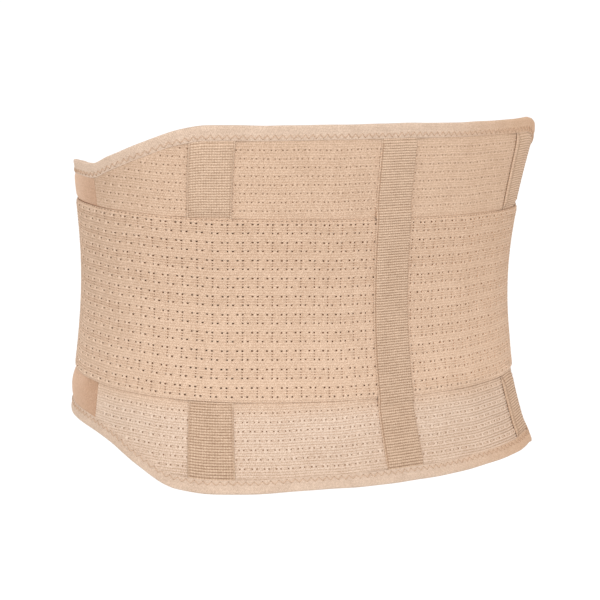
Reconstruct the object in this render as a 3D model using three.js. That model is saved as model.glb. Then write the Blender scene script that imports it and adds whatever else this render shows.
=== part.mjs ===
import * as THREE from 'three';

// Elastic support belt for the lower back and belly, closed as it is worn.
// Millimetres, +Z up, +Y towards the wearer's front, +X towards the wearer's right.
// The origin is the middle of the loop at waist height.
// A place on the loop is u, a share of its length: 0 at the centre back, 0.5 at the centre front,
// positive towards +X.

// Body side of the belt: a rounded section for each height.
const ROUNDNESS = 2.3;
const SECTIONS = [
  { z: -122, halfWidth: 175, halfDepth: 123.5, shift: -18 },
  { z: -60, halfWidth: 165.5, halfDepth: 111.5, shift: -4.5 },
  { z: 0, halfWidth: 160.5, halfDepth: 104.5, shift: 0 },
  { z: 60, halfWidth: 167, halfDepth: 103, shift: 0 },
  { z: 122, halfWidth: 181, halfDepth: 98, shift: -9 },
];

// Free edges of the belt: tall across the back, sloping at the flanks, low round the front.
const EDGES = [
  { u: -0.56, top: 76, bottom: -84 },
  { u: -0.44, top: 76, bottom: -84 },
  { u: -0.36, top: 78.5, bottom: -86 },
  { u: -0.29, top: 87, bottom: -89 },
  { u: -0.25, top: 88.5, bottom: -90.5 },
  { u: -0.225, top: 96, bottom: -95 },
  { u: -0.2, top: 105.5, bottom: -104 },
  { u: -0.17, top: 116, bottom: -113.5 },
  { u: -0.15, top: 119.5, bottom: -116 },
  { u: -0.075, top: 121, bottom: -113.5 },
  { u: 0, top: 121.5, bottom: -113 },
  { u: 0.075, top: 121.5, bottom: -111 },
  { u: 0.15, top: 122, bottom: -108.5 },
  { u: 0.17, top: 118, bottom: -107 },
  { u: 0.2, top: 106.5, bottom: -101 },
  { u: 0.225, top: 96.5, bottom: -94 },
  { u: 0.25, top: 88.5, bottom: -90.5 },
  { u: 0.29, top: 87, bottom: -89 },
  { u: 0.36, top: 78.5, bottom: -86 },
  { u: 0.44, top: 76, bottom: -84 },
  { u: 0.56, top: 76, bottom: -84 },
];

// Thickness of each layer, and the clearance that is left between layers.
const CLEARANCE = 0.35;
const PANEL_WALL = 1.3;
const BAND_WALL = 1.3;
const TAPE_WALL = 1.1;
const BINDING_WALL = 1;
const CLOSURE_WALL = 1.3;

// Heights.
const BAND_HALF = 60;
const CLOSURE_HALF = 52;
const BINDING_HEIGHT = 9;
const TAPE_TUCK = 1;
const CLIMB_START = 2;
const CLIMB_LENGTH = 10;
const FLAT_FRONT_HALF = 61;
const RAISED_FRONT_HALF = 66.5;

// Places round the loop and lengths along it, as shares of the loop.
const SEAM_U = 0.248;
const SEAM_GAP = 0.0004;
const STAY_U = 0.1465;
const TAPE_SHARE = 0.0325;
const TAPE_MARGIN = 0.0012;
const TAPE_RAMP = 0.016;
const BAND_START_U = 0.0004;
const BAND_END_U = 0.4985;
const PANEL_END_U = 0.535;
const LIFT_START_U = 0.43;
const LIFT_END_U = 0.458;
const CLOSURE_SHARE = 0.08;

// Fineness of the facets.
const LOOP_STEPS = 80;
const CLOSEST_STEP = 0.35;
const BAND_STEPS = 6;
const FLANK_STEPS = 3;
const CLOSURE_STEPS = 4;
const ARC_STEPS = 240;
const NUDGE_U = 0.001;
const NUDGE_Z = 1;

const { lerp, smoothstep } = THREE.MathUtils;

// Value of one column at z, on the single smooth curve through all of the section rows.
function sectionValue(column, z) {
  return SECTIONS.reduce((sum, row) => {
    const others = SECTIONS.filter((other) => other !== row);
    return sum + others.reduce((term, other) => (term * (z - other.z)) / (row.z - other.z), row[column]);
  }, 0);
}

// Height of a free edge at u: a cubic between rows that never overshoots them.
function edgeHeight(column, u) {
  const slopes = EDGES.slice(1).map((row, i) => (row[column] - EDGES[i][column]) / (row.u - EDGES[i].u));
  const tangent = (i) => {
    const before = slopes[i - 1] ?? 0;
    const after = slopes[i] ?? 0;
    return before * after > 0 ? (2 * before * after) / (before + after) : 0;
  };
  const i = Math.min(EDGES.findIndex((row) => row.u > u) - 1, EDGES.length - 2);
  const span = EDGES[i + 1].u - EDGES[i].u;
  const s = (u - EDGES[i].u) / span;
  const start = EDGES[i][column] * (1 + 2 * s) + tangent(i) * span * s;
  const end = EDGES[i + 1][column] * (3 - 2 * s) - tangent(i + 1) * span * (1 - s);
  return start * (1 - s) ** 2 + end * s ** 2;
}

const topEdge = (u) => edgeHeight('top', u);
const bottomEdge = (u) => edgeHeight('bottom', u);

const roundPower = (value) => Math.sign(value) * Math.abs(value) ** (2 / ROUNDNESS);

// Half of the section at z, from the centre back to the centre front, with its length so far.
const halfLoops = new Map();
function halfLoop(z) {
  if (halfLoops.has(z)) return halfLoops.get(z);
  const halfWidth = sectionValue('halfWidth', z);
  const halfDepth = sectionValue('halfDepth', z);
  const shift = sectionValue('shift', z);
  const at = (angle) => new THREE.Vector3(
    halfWidth * roundPower(Math.sin(angle)),
    shift - halfDepth * roundPower(Math.cos(angle)),
    z,
  );
  const lengths = [0];
  for (let i = 1; i <= ARC_STEPS; i += 1) {
    const from = at((Math.PI * (i - 1)) / ARC_STEPS);
    const to = at((Math.PI * i) / ARC_STEPS);
    lengths.push(lengths[i - 1] + from.distanceTo(to));
  }
  halfLoops.set(z, { at, lengths });
  return halfLoops.get(z);
}

// Point of the body side at u and z.
function loopPoint(u, z) {
  const turned = u - Math.round(u);
  const { at, lengths } = halfLoop(z);
  const target = Math.abs(turned) * 2 * lengths[ARC_STEPS];
  const i = Math.max(lengths.findIndex((length) => length >= target), 1);
  const part = (target - lengths[i - 1]) / (lengths[i] - lengths[i - 1]);
  const point = at((Math.PI * (i - 1 + part)) / ARC_STEPS);
  if (turned < 0) point.x = -point.x;
  return point;
}

// The same point moved out, square to the surface.
function place(u, z, out) {
  const along = loopPoint(u + NUDGE_U, z).sub(loopPoint(u - NUDGE_U, z));
  const up = loopPoint(u, z + NUDGE_Z).sub(loopPoint(u, z - NUDGE_Z));
  const outward = along.cross(up).normalize();
  return loopPoint(u, z).addScaledVector(outward, out);
}

// Places from start to end on the grid lines that all pieces share: even ones, and the breaks where
// cloth starts or ends a rise. A line that lies close to a break or to an end is left out.
function stations(start, end) {
  const near = CLOSEST_STEP / LOOP_STEPS;
  const clear = (u, others) => others.every((other) => Math.abs(other - u) > near);
  const even = Array.from({ length: LOOP_STEPS * 2 + 1 }, (_, i) => i / LOOP_STEPS - 1);
  const lines = [...even.filter((u) => clear(u, breaks)), ...breaks];
  const inner = lines.filter((u) => u > start && u < end && clear(u, [start, end]));
  return [start, ...inner, end].sort((a, b) => a - b);
}

// Even heights from low to high, both included.
function heights(low, high, count) {
  return Array.from({ length: count + 1 }, (_, i) => lerp(low, high, i / count));
}

// Closed solid between two grids of points, outer and inner, with rows along u.
function solidBetween(outer, inner) {
  const rows = outer.length;
  const columns = outer[0].length;
  const points = [...outer.flat(), ...inner.flat()];
  const out = (i, j) => i * columns + j;
  const body = (i, j) => rows * columns + i * columns + j;
  const faces = [];
  const quad = (a, b, c, d) => faces.push(a, b, c, a, c, d);
  for (let i = 0; i < rows - 1; i += 1) {
    for (let j = 0; j < columns - 1; j += 1) {
      quad(out(i, j), out(i + 1, j), out(i + 1, j + 1), out(i, j + 1));
      quad(body(i, j), body(i, j + 1), body(i + 1, j + 1), body(i + 1, j));
    }
    const last = columns - 1;
    quad(body(i, 0), body(i + 1, 0), out(i + 1, 0), out(i, 0));
    quad(out(i, last), out(i + 1, last), body(i + 1, last), body(i, last));
  }
  for (let j = 0; j < columns - 1; j += 1) {
    const last = rows - 1;
    quad(out(0, j), out(0, j + 1), body(0, j + 1), body(0, j));
    quad(body(last, j), body(last, j + 1), out(last, j + 1), out(last, j));
  }
  const geometry = new THREE.BufferGeometry().setFromPoints(points);
  geometry.setIndex(faces);
  geometry.computeVertexNormals();
  return geometry;
}

// Wall of cloth: heightsAt gives the grid's heights at u, baseAt how far out its body side lies.
function wall(places, heightsAt, baseAt, thickness) {
  const side = (extra) => places.map((u) => heightsAt(u).map((z) => place(u, z, baseAt(u, z) + extra)));
  return solidBetween(side(thickness), side(0));
}

// Share, from 0 to 1, of the rise over a tape that is centred at centre.
const tapeHalf = TAPE_SHARE / 2 + TAPE_MARGIN;
const overTape = (u, centre) => 1 - smoothstep(Math.abs(u - centre), tapeHalf, tapeHalf + TAPE_RAMP);
const tapeBreaks = (centre) => [tapeHalf, tapeHalf + TAPE_RAMP / 2, tapeHalf + TAPE_RAMP]
  .flatMap((half) => [centre - half, centre + half]);

// How far out each layer's body side lies.
const onePanel = PANEL_WALL + CLEARANCE;
const oneBand = BAND_WALL + CLEARANCE;
const oneTape = TAPE_WALL + CLEARANCE;
const oneBinding = BINDING_WALL + CLEARANCE;
const sideTapes = (u) => Math.max(overTape(u, -STAY_U), overTape(u, STAY_U));
const allTapes = (u) => Math.max(sideTapes(u), overTape(u, 0));
const bandBase = (u) => onePanel + frontLift(u, 0) + oneTape * sideTapes(u);
const bindingRise = (u) => oneTape * allTapes(u);

// Rise at the centre front, where the left panel lies over the right one: one panel in the middle,
// and near the free edges the bindings of both as well.
function frontLift(u, z) {
  const bound = smoothstep(Math.abs(z), FLAT_FRONT_HALF, RAISED_FRONT_HALF);
  return (onePanel + 2 * oneBinding * bound) * smoothstep(Math.abs(u), LIFT_START_U, LIFT_END_U);
}
const panelBase = (u, z) => (u < 0 ? frontLift(u, z) : 0);

const breaks = [
  ...[-STAY_U, 0, STAY_U].flatMap(tapeBreaks),
  ...[-LIFT_END_U, -LIFT_START_U, LIFT_START_U, LIFT_END_U],
];

// Heights of the tall back: even across the band, and on to the free edges or short of them by tuck.
function backHeights(u, tuck) {
  return [
    ...heights(bottomEdge(u) + tuck, -BAND_HALF, FLANK_STEPS).slice(0, -1),
    ...heights(-BAND_HALF, BAND_HALF, BAND_STEPS),
    ...heights(BAND_HALF, topEdge(u) - tuck, FLANK_STEPS).slice(1),
  ];
}

function backPanel() {
  const end = SEAM_U - SEAM_GAP;
  return wall(stations(-end, end), (u) => backHeights(u, 0), () => 0, PANEL_WALL);
}

// Heights of the low front: even across the band, and on to the free edges.
function frontHeights(u) {
  return [
    bottomEdge(u),
    -RAISED_FRONT_HALF,
    ...heights(-FLAT_FRONT_HALF, FLAT_FRONT_HALF, BAND_STEPS),
    RAISED_FRONT_HALF,
    topEdge(u),
  ];
}

function frontPanel(side) {
  const ends = side > 0 ? [SEAM_U + SEAM_GAP, PANEL_END_U] : [-PANEL_END_U, -SEAM_U - SEAM_GAP];
  return wall(stations(...ends), frontHeights, panelBase, PANEL_WALL);
}

function sideTape(centre) {
  const places = stations(centre - TAPE_SHARE / 2, centre + TAPE_SHARE / 2);
  return wall(places, (u) => backHeights(u, TAPE_TUCK), () => onePanel, TAPE_WALL);
}

// The centre tape lies on the panel at its ends and climbs over the bands between them.
function centreTape() {
  const flat = BAND_HALF + CLIMB_START;
  const foot = flat + CLIMB_LENGTH;
  const climb = (u, z) => onePanel + oneBand * (1 - smoothstep(Math.abs(z), flat, foot));
  const tapeHeights = (u) => [
    ...heights(bottomEdge(u) + TAPE_TUCK, -foot, FLANK_STEPS),
    -(flat + foot) / 2,
    ...heights(-flat, flat, BAND_STEPS),
    (flat + foot) / 2,
    ...heights(foot, topEdge(u) - TAPE_TUCK, FLANK_STEPS),
  ];
  return wall(stations(-TAPE_SHARE / 2, TAPE_SHARE / 2), tapeHeights, climb, TAPE_WALL);
}

function outerBand(side) {
  const ends = side > 0 ? [BAND_START_U, BAND_END_U] : [-BAND_END_U, -BAND_START_U];
  const places = stations(...ends);
  return wall(places, () => heights(-BAND_HALF, BAND_HALF, BAND_STEPS), bandBase, BAND_WALL);
}

// Edge binding: a strip folded over a free edge, with one leg outside, over the tapes, and one inside.
// turn is 1 on the top edge and -1 on the bottom edge.
function binding(edgeAt, turn) {
  const fold = (crown, spread) => [
    { rise: -BINDING_HEIGHT, side: turn, spread },
    { rise: crown, side: turn, spread },
    { rise: crown, side: -turn, spread },
    { rise: -BINDING_HEIGHT, side: -turn, spread },
  ];
  const outerFold = fold(CLEARANCE + BINDING_WALL, CLEARANCE + BINDING_WALL);
  const innerFold = fold(CLEARANCE, CLEARANCE);
  const point = (u, { rise, side, spread }) => {
    const z = edgeAt(u) + turn * rise;
    const inside = panelBase(u, z) - spread;
    const outside = panelBase(u, z) + PANEL_WALL + bindingRise(u) + spread;
    return place(u, z, side > 0 ? outside : inside);
  };
  const places = stations(-PANEL_END_U, PANEL_END_U);
  const side = (rows) => places.map((u) => rows.map((row) => point(u, row)));
  return solidBetween(side(outerFold), side(innerFold));
}

function frontClosure() {
  const base = bandBase(BAND_END_U) + oneBand;
  const places = stations(0.5 - CLOSURE_SHARE / 2, 0.5 + CLOSURE_SHARE / 2);
  return wall(places, () => heights(-CLOSURE_HALF, CLOSURE_HALF, CLOSURE_STEPS), () => base, CLOSURE_WALL);
}

const cloth = (color, roughness) => new THREE.MeshStandardMaterial({ color, roughness, metalness: 0 });
const netElastic = cloth(0xe0be9f, 0.85);
const smoothCloth = cloth(0xd6ae8c, 0.9);
const ribbedTape = cloth(0xcda57f, 0.8);
const edgeBinding = cloth(0xdfbc9c, 0.8);

const belt = new THREE.Group();
const add = (name, geometry, material) => {
  const mesh = new THREE.Mesh(geometry, material);
  mesh.name = name;
  belt.add(mesh);
};

add('back_panel', backPanel(), netElastic);
add('front_panel_left', frontPanel(-1), smoothCloth);
add('front_panel_right', frontPanel(1), smoothCloth);
add('stay_tape_left', sideTape(-STAY_U), ribbedTape);
add('stay_tape_right', sideTape(STAY_U), ribbedTape);
add('outer_band_left', outerBand(-1), netElastic);
add('outer_band_right', outerBand(1), netElastic);
add('stay_tape_centre', centreTape(), ribbedTape);
add('top_binding', binding(topEdge, 1), edgeBinding);
add('bottom_binding', binding(bottomEdge, -1), edgeBinding);
add('front_closure', frontClosure(), smoothCloth);

export default belt;
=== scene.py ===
import bpy
import numpy as np
from mathutils import Euler, Matrix, Vector


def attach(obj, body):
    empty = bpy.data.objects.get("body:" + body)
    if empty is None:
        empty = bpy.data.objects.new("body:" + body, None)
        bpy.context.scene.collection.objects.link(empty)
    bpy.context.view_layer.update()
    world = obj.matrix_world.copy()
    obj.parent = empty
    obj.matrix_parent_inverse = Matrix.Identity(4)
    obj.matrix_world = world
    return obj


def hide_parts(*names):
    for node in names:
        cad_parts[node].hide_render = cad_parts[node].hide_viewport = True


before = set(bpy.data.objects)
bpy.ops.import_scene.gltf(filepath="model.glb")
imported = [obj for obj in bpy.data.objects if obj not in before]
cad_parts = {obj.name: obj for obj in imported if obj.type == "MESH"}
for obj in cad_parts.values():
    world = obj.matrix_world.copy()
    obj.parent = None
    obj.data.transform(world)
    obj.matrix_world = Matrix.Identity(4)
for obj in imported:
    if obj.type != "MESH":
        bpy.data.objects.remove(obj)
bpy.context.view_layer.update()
print("frame loaded with", len(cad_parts), "solids")

metre = 0.001  # the shapes below are in millimetres
turn = 2 * np.pi
chance = np.random.default_rng(11)

# The body side of the belt. u is the share of the loop from the centre back, positive to the
# wearer's right, z is the height, and out is the distance from the body side.
loopShape = {
    "roundness": 2.3,
    "z": [-122, -60, 0, 60, 122],
    "halfWidth": [176, 164.6, 160.6, 167.4, 180.6],
    "halfDepth": [123.5, 111.5, 104.5, 103, 98],
    "shift": [-18, -4.5, 0, 0, -9],
    "length": 865,  # round the waist
}
loopLength = loopShape["length"]
edgeShape = {
    "u": [-0.56, -0.44, -0.36, -0.325, -0.28, -0.25, -0.225, -0.2, -0.17, -0.15, -0.075, 0,
          0.075, 0.15, 0.17, 0.2, 0.225, 0.25, 0.29, 0.36, 0.44, 0.56],
    "top": [75, 75, 75, 81.4, 86.1, 87.2, 95, 104.8, 116, 119.5, 120.9, 122,
            121.6, 122, 118, 106.5, 96, 88, 86.3, 75, 75, 75],
    "bottom": [-84, -84, -86, -87, -88, -89.5, -93.7, -103.1, -114, -115.4, -113, -113.4,
               -112.2, -111.2, -113.2, -106, -95, -89.5, -88, -86, -84, -84],
}
layers = {
    "gap": 0.35,
    "panelWall": 1.3,
    "bandWall": 1.3,
    "tapeWall": 1.1,
    "bindingWall": 1.0,
    "closureWall": 1.3,
    "pressed": 0.9,  # what a tape loses under a band or a binding
    "bindingTop": 8.5,
    "bindingBottom": 7.0,
    "bandHalf": 60,
    "seamU": 0.248,
    "seamGap": 0.00003,
    "stayU": 0.1465,
    "tapeShare": 0.0325,
    "tapeMargin": 0.0012,
    "tapeRamp": 0.016,
    "bandStart": 0.0004,
    "bandEnd": 0.4985,
    "panelEnd": 0.535,
    "liftStart": 0.43,
    "liftEnd": 0.458,
    "flatFront": 61,
    "raisedFront": 66.5,
    "climbStart": 61.5,
    "climbEnd": 68,
    # the bands sag a little towards the wearer's right
    "sagU": [-0.1, -0.02, 0.02, 0.1, 0.16, 0.3, 0.42],
    "sagTop": [0.0, 0.6, 1.1, 1.6, 2.0, 1.6, 0.0],
    "sagBottom": [0.0, 1.2, 2.1, 1.6, 1.0, 1.0, 0.0],
}
rimShape = {"topIn": 1.7, "bottomOut": 0.7, "hipIn": 0.9}  # at the wearer's right


def sectionCurve(column):
    # the one polynomial through the five rows of the loop's table
    return np.polyfit(np.array(loopShape["z"]) / 100, loopShape[column], 4)


widthCurve = sectionCurve("halfWidth")
depthCurve = sectionCurve("halfDepth")
shiftCurve = sectionCurve("shift")


def roundPower(value):
    return np.sign(value) * np.abs(value) ** (2 / loopShape["roundness"])


def sectionPoint(angle, z):
    # rounded oval: across it is the half width times a power of the sine, and in depth the shift less
    # the half depth times a power of the cosine
    across = np.polyval(widthCurve, z / 100) * roundPower(np.sin(angle))
    deep = np.polyval(shiftCurve, z / 100) - np.polyval(depthCurve, z / 100) * roundPower(np.cos(angle))
    return np.stack(np.broadcast_arrays(across, deep, z + 0.0 * angle), axis=-1)


tableZ = np.linspace(-140, 140, 141)
tableShare = np.linspace(0, 1, 801)


def angleTable():
    # for each height, the angle at which a given share of the half loop's length is reached
    angles = np.linspace(0, np.pi, 1441)
    outline = sectionPoint(angles[None, :], tableZ[:, None])
    steps = np.linalg.norm(np.diff(outline, axis=1), axis=2)
    lengths = np.concatenate([np.zeros((len(tableZ), 1)), np.cumsum(steps, axis=1)], axis=1)
    return np.array([np.interp(tableShare, row / row[-1], angles) for row in lengths])


angleAt = angleTable()


def loopPoint(u, z):
    # the angle comes from the table by its four nearest values, and the point from the oval
    turned = u - np.round(u)
    row = (z - tableZ[0]) / (tableZ[1] - tableZ[0])
    column = np.abs(turned) * 2 * (len(tableShare) - 1)
    i = np.clip(np.floor(row), 0, len(tableZ) - 2).astype(int)
    j = np.clip(np.floor(column), 0, len(tableShare) - 2).astype(int)
    across = column - j
    up = row - i
    low = angleAt[i, j] * (1 - across) + angleAt[i, j + 1] * across
    high = angleAt[i + 1, j] * (1 - across) + angleAt[i + 1, j + 1] * across
    point = sectionPoint(low * (1 - up) + high * up, z)
    point[..., 0] *= np.sign(turned)
    return point


def outward(u, z):
    # unit vector square to the body side: the step along u crossed with the step up
    along = loopPoint(u + 0.001, z) - loopPoint(u - 0.001, z)
    rise = loopPoint(u, z + 1.0) - loopPoint(u, z - 1.0)
    normal = np.cross(along, rise)
    return normal / np.linalg.norm(normal, axis=-1, keepdims=True)


def ripple(u, z):
    # slow unevenness of stretched cloth, the same for all layers
    slow = 0.24 * np.sin(turn * 3 * u + 0.018 * z + 1.1)
    quick = 0.17 * np.sin(turn * 7 * u - 0.031 * z) + 0.08 * np.sin(turn * 19 * u + 0.05 * z + 2)
    return slow + quick


def rimFlare(u, z):
    # at the wearer's right the top rim is drawn in, the bottom rim flares and the hip is flatter
    hip = rimShape["hipIn"] * ease(-z, 34, 62) * (1 - ease(-z, 92, 110))
    rims = rimShape["bottomOut"] * ease(-z, 103, 116) - rimShape["topIn"] * ease(z, 102, 121)
    return (rims - hip) * ease(u, 0.04, 0.13) * (1 - ease(u, 0.22, 0.27))


def place(u, z, out):
    # the loop's point moved out along its normal
    u, z, out = (a.astype(float) for a in np.broadcast_arrays(u, z, out))
    return loopPoint(u, z) + outward(u, z) * (out + ripple(u, z) + rimFlare(u, z))[..., None]


def ease(value, low, high):
    part = np.clip((value - low) / (high - low), 0, 1)
    return part * part * (3 - 2 * part)


def edgeHeight(column, u):
    # cubic between the table's rows, with tangents that never overshoot, and a slight waviness
    u = np.asarray(u, float)
    knots = np.array(edgeShape["u"], float)
    values = np.array(edgeShape[column], float)
    slope = np.diff(values) / np.diff(knots)
    before = np.concatenate([[0], slope])
    after = np.concatenate([slope, [0]])
    steady = before * after > 0
    tangent = np.where(steady, 2 * before * after / np.where(steady, before + after, 1), 0)
    i = np.clip(np.searchsorted(knots, u, side="right") - 1, 0, len(knots) - 2)
    span = knots[i + 1] - knots[i]
    s = (u - knots[i]) / span
    start = values[i] * (1 + 2 * s) + tangent[i] * span * s
    end = values[i + 1] * (3 - 2 * s) - tangent[i + 1] * span * (1 - s)
    wave = 0.13 * np.sin(turn * 13 * u + 1) + 0.07 * np.sin(turn * 29 * u)
    return start * (1 - s) ** 2 + end * s ** 2 + wave


def betweenEdges(u, inset, share):
    # evenly from the bottom edge to the top edge, less an inset at both
    low = edgeHeight("bottom", u) + inset
    return low + (edgeHeight("top", u) - inset - low) * share


onePanel = layers["panelWall"] + layers["gap"]
oneBand = layers["bandWall"] + layers["gap"]
oneTape = layers["tapeWall"] + layers["gap"]
oneBinding = layers["bindingWall"] + layers["gap"]


def clearOf(u, z):
    # distance from the nearer binding's rim, negative under the binding
    return np.minimum(edgeHeight("top", u) - z - layers["bindingTop"],
                      z - edgeHeight("bottom", u) - layers["bindingBottom"])


def overTape(u, centre):
    # 1 on a tape, falling to 0 beside it
    half = layers["tapeShare"] / 2 + layers["tapeMargin"]
    return 1 - ease(np.abs(u - centre), half, half + layers["tapeRamp"])


def sideTapes(u):
    return np.maximum(overTape(u, -layers["stayU"]), overTape(u, layers["stayU"]))


def frontLift(u, z):
    # rise of the left front panel over the right one, and over the bindings near the edges
    bound = ease(np.abs(z), layers["flatFront"], layers["raisedFront"])
    over = ease(np.abs(u), layers["liftStart"], layers["liftEnd"])
    return (onePanel + 2 * oneBinding * bound) * over


def panelBase(u, z):
    return np.where(u < 0, frontLift(u, z), 0.0)


def bandBase(u):
    return onePanel + frontLift(u, 0 * u) + (oneTape - layers["pressed"]) * sideTapes(u)


def bandSag(u, z):
    # evenly from the bottom edge's table to the top edge's
    share = np.clip(z / layers["bandHalf"], -1, 1) * 0.5 + 0.5
    top = np.interp(u, layers["sagU"], layers["sagTop"])
    return -top * share - np.interp(u, layers["sagU"], layers["sagBottom"]) * (1 - share)


def besideBand(u, z):
    # distance from the band's nearer edge, negative under the band
    half = layers["bandHalf"]
    return np.maximum(z - half - bandSag(u, half), bandSag(u, -half) - half - z)


def centreBase(z):
    return onePanel + oneBand * (1 - ease(np.abs(z), layers["climbStart"], layers["climbEnd"]))


print("loop ready")


class Wire:
    # one socket of a finish; operators on wires add Math nodes, and node() adds any other
    def __init__(self, tree, socket=None):
        self.tree = tree
        self.socket = socket

    def node(self, kind, settings=None, sockets=None, output=0):
        made = self.tree.nodes.new(kind)
        for name, value in (settings or {}).items():
            setattr(made, name, value)
        for name, value in (sockets or {}).items():
            if isinstance(value, Wire):
                self.tree.links.new(value.socket, made.inputs[name])
            else:
                made.inputs[name].default_value = value
        return Wire(self.tree, made.outputs[output])

    def math(self, operation, *others):
        return self.node("ShaderNodeMath", {"operation": operation}, dict(enumerate((self, *others))))

    def __add__(self, other):
        return self.math("ADD", other)

    def __sub__(self, other):
        return self.math("SUBTRACT", other)

    def __rsub__(self, other):
        return self * -1.0 + other

    def __mul__(self, other):
        return self.math("MULTIPLY", other)

    def __pow__(self, other):
        return self.math("POWER", other)

    def between(self, low, high):
        spread = {"interpolation_type": "SMOOTHSTEP", "clamp": True}
        return self.node("ShaderNodeMapRange", spread, {0: self, 1: low, 2: high, 3: 0.0, 4: 1.0})

    def blend(self, first, second):
        return self.node("ShaderNodeMix", {"data_type": "RGBA"}, {0: self, 6: first, 7: second}, 2)

    def into(self, socket):
        self.tree.links.new(self.socket, socket)


def tone(red, green, blue):
    # a colour as seen on a screen, from 0 to 255, turned to the linear values that sockets take
    part = np.array([red, green, blue]) / 255
    linear = np.where(part <= 0.04045, part / 12.92, ((part + 0.055) / 1.055) ** 2.4)
    return (*linear.tolist(), 1.0)


softCloth = {
    "Sheen Weight": 0.08,
    "Sheen Roughness": 0.5,
    "Sheen Tint": tone(252, 222, 196),
    "Specular IOR Level": 0.12,
    "Specular Tint": tone(252, 222, 196),
}


def newFinish(name, fixed):
    finish = bpy.data.materials.new(name)
    finish.use_nodes = True
    shader = finish.node_tree.nodes["Principled BSDF"]
    for socket, value in fixed.items():
        shader.inputs[socket].default_value = value
    return finish


def dress(finish, colour, rough, relief, strength=0.8, distance=0.0003):
    # colour, roughness and bump into the finish's shader
    inputs = finish.node_tree.nodes["Principled BSDF"].inputs
    bump = {"Strength": strength, "Distance": distance, "Height": relief}
    colour.into(inputs["Base Color"])
    rough.into(inputs["Roughness"])
    relief.node("ShaderNodeBump", None, bump).into(inputs["Normal"])
    return finish


def axis(vector, number):
    return vector.node("ShaderNodeSeparateXYZ", None, {0: vector}, number)


def newCloth(name, changes=None):
    # a finish, the place in the object, the painted shade of holes, grooves and edges (a painted
    # highlight where it is below zero), and the cloth's own place: metres along the loop, and the course
    # upwards
    finish = newFinish(name, softCloth | (changes or {}))
    start = Wire(finish.node_tree)
    spot = start.node("ShaderNodeTexCoord", output=3)
    paintedShade = start.node("ShaderNodeAttribute", {"attribute_name": "paintedShade"}, output=2)
    return finish, spot, paintedShade, start.node("ShaderNodeUVMap", {"uv_map": "cloth"})


def speckle(spot, scale, detail=3.0, spread=0.25):
    noise = {"Vector": spot, "Scale": scale, "Detail": detail}
    return spot.node("ShaderNodeTexNoise", None, noise).between(0.5 - spread, 0.5 + spread)


def fuzz(spot, scale):
    # fine speckle of single fibres
    return speckle(spot, scale, 2.0, 0.2)


def rightSide(spot):
    return axis(spot, 0).between(0.0, 0.16)


def paintedRightShade(spot, colour, amount=0.12):
    # painted shade: a slightly deeper, warmer colour towards the wearer's right
    return (rightSide(spot) * amount).blend(colour, tone(190, 140, 95))


def knit(flat, perCourse, look, stagger):
    # rows of loops: rib is 1 on a course and 0 between courses, loop the same along it
    course = axis(flat, 1) * (1 / perCourse)
    number = course.math("FLOOR")
    rib = (course * turn - np.pi / 2).math("SINE") * 0.5 + 0.5
    phase = axis(flat, 0) * (1 / look["loop"]) + number * stagger + (course - number) * look["slant"]
    return rib, (phase * turn).math("SINE") * 0.5 + 0.5


# light, dark and pale are the yarn's tones, pale being painted light low down; the last three are tones
# of painted shade in the panel's pits, in what shows through a band's holes, and in dents
netLook = {
    "light": tone(237, 208, 183),
    "dark": tone(162, 128, 101),
    "pale": tone(238, 216, 197),
    "paintedShade": tone(160, 122, 92),
    "through": tone(214, 138, 66),
    "dent": tone(128, 92, 68),
    "loop": 0.0011,
    "slant": 0.5,
}


def netFinish():
    look = netLook
    finish, spot, paintedShade, flat = newCloth("netElastic")
    rib, loop = knit(flat, metre, look, 0.5)
    fibre = fuzz(spot, 1150)
    right = rightSide(spot)
    flank = axis(spot, 1).between(-0.08, -0.01)
    z = axis(spot, 2)
    low = z.between(-0.055, -0.075)
    top = z.between(0.055, 0.075)
    height = z.math("ABSOLUTE")
    panel = height.between(0.058, 0.062)
    seam = axis(flat, 0).between(-0.17, -0.212)
    # painted light and shade: the bands are paler low down, and the panel is darker at its lower edge,
    # its top and its left seam
    slope = (0.5 - z.between(-0.055, 0.055)) * (1.0 - panel) * 0.08 + low * (z + 0.085) * 2.0
    slope = slope - top * (seam * 0.12 + 0.03)
    # painted shade in the rib grooves, with the knit's loops on the crests
    ribbed = low * (right * 0.28 + 0.1) + 0.12  # strongest low down at the right
    weave = (rib ** 0.6 - 0.6) * ribbed + rib * loop * 0.26
    share = weave + fibre * 0.34 + speckle(spot, 60) * 0.08 + slope + 0.24
    yarn = low.blend(look["light"], look["pale"])  # painted light: paler low down
    colour = share.blend(look["dark"], yarn)
    # painted shade darkens the holes and a painted highlight pales the bars, more so low down, at the
    # panel's right and at the flanks
    shadeAmount = paintedShade * (low * 0.7 + panel * right * 0.9 + flank * 1.2 + 1.0)
    colour = paintedRightShade(spot, (shadeAmount * -1.0).blend(colour, yarn))
    # the painted shade's tone: a hole in a band shows the cloth behind it in shade, one in the panel its
    # own shaded side, and a dent or a flank a deeper brown
    deep = height.between(0.057, 0.0576).blend(look["through"], look["dent"])
    deep = panel.blend(deep, look["paintedShade"])
    deep = paintedShade.between(0.55, 0.6).math("MAXIMUM", flank).blend(deep, look["dent"])
    relief = rib * loop * 0.9 + fibre * 0.6
    return dress(finish, shadeAmount.blend(colour, deep), fibre * 0.15 + 0.75, relief)


pileLook = {"light": tone(218, 183, 157), "dark": tone(182, 144, 117), "paintedShade": tone(120, 86, 64)}


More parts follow.
